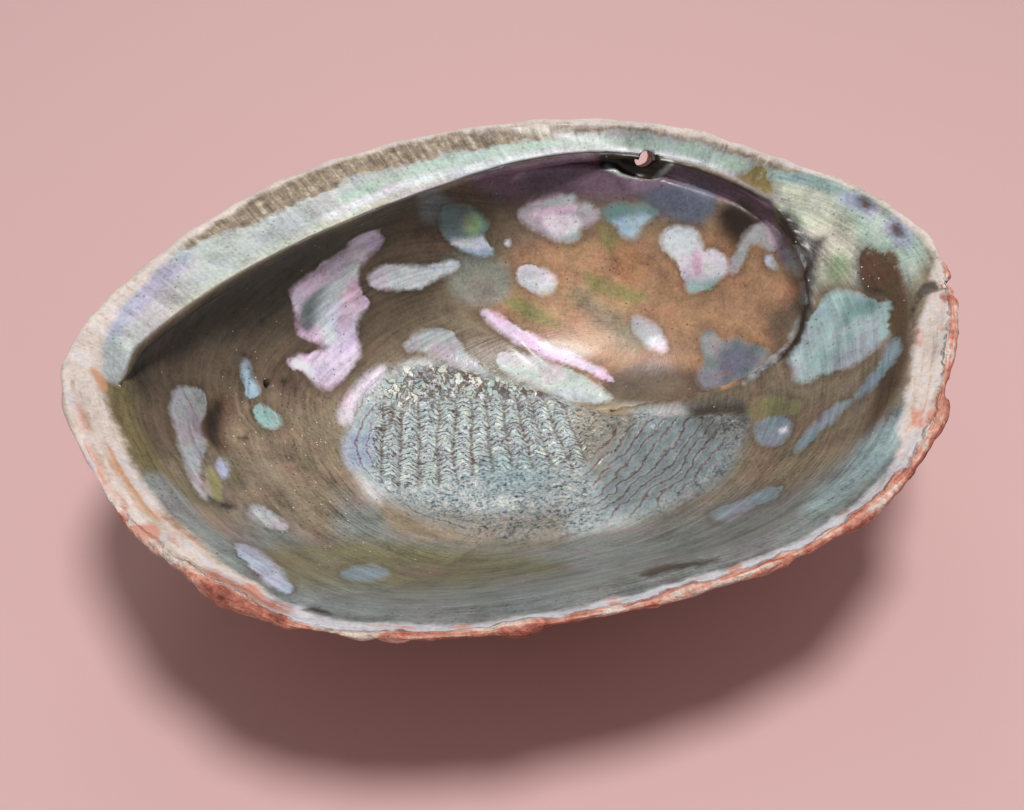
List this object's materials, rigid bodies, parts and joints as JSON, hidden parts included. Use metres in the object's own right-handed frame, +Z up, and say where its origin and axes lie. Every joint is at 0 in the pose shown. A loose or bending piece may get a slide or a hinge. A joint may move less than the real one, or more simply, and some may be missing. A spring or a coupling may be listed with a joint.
{
  "type": "abalone shell",
  "caption": "Ear-shaped sea shell lying hollow side up, with a flat inner shelf, a coiled hollow under the spire and a raised muscle scar.",
  "frame": {"origin": "under the middle of the shell's box, on the surface that it lies on", "axes": "+Z up out of the hollow, +X along the shell towards the spire end, +Y towards the shelf of the inner lip"},
  "size_m": [0.1898, 0.1466, 0.0556],
  "materials": {
    "shell": "iridescent mother-of-pearl inside, rough brick-red and grey crust outside"
  },
  "bodies": {
    "root": {"shell": "shell"}
  },
  "joints": []
}
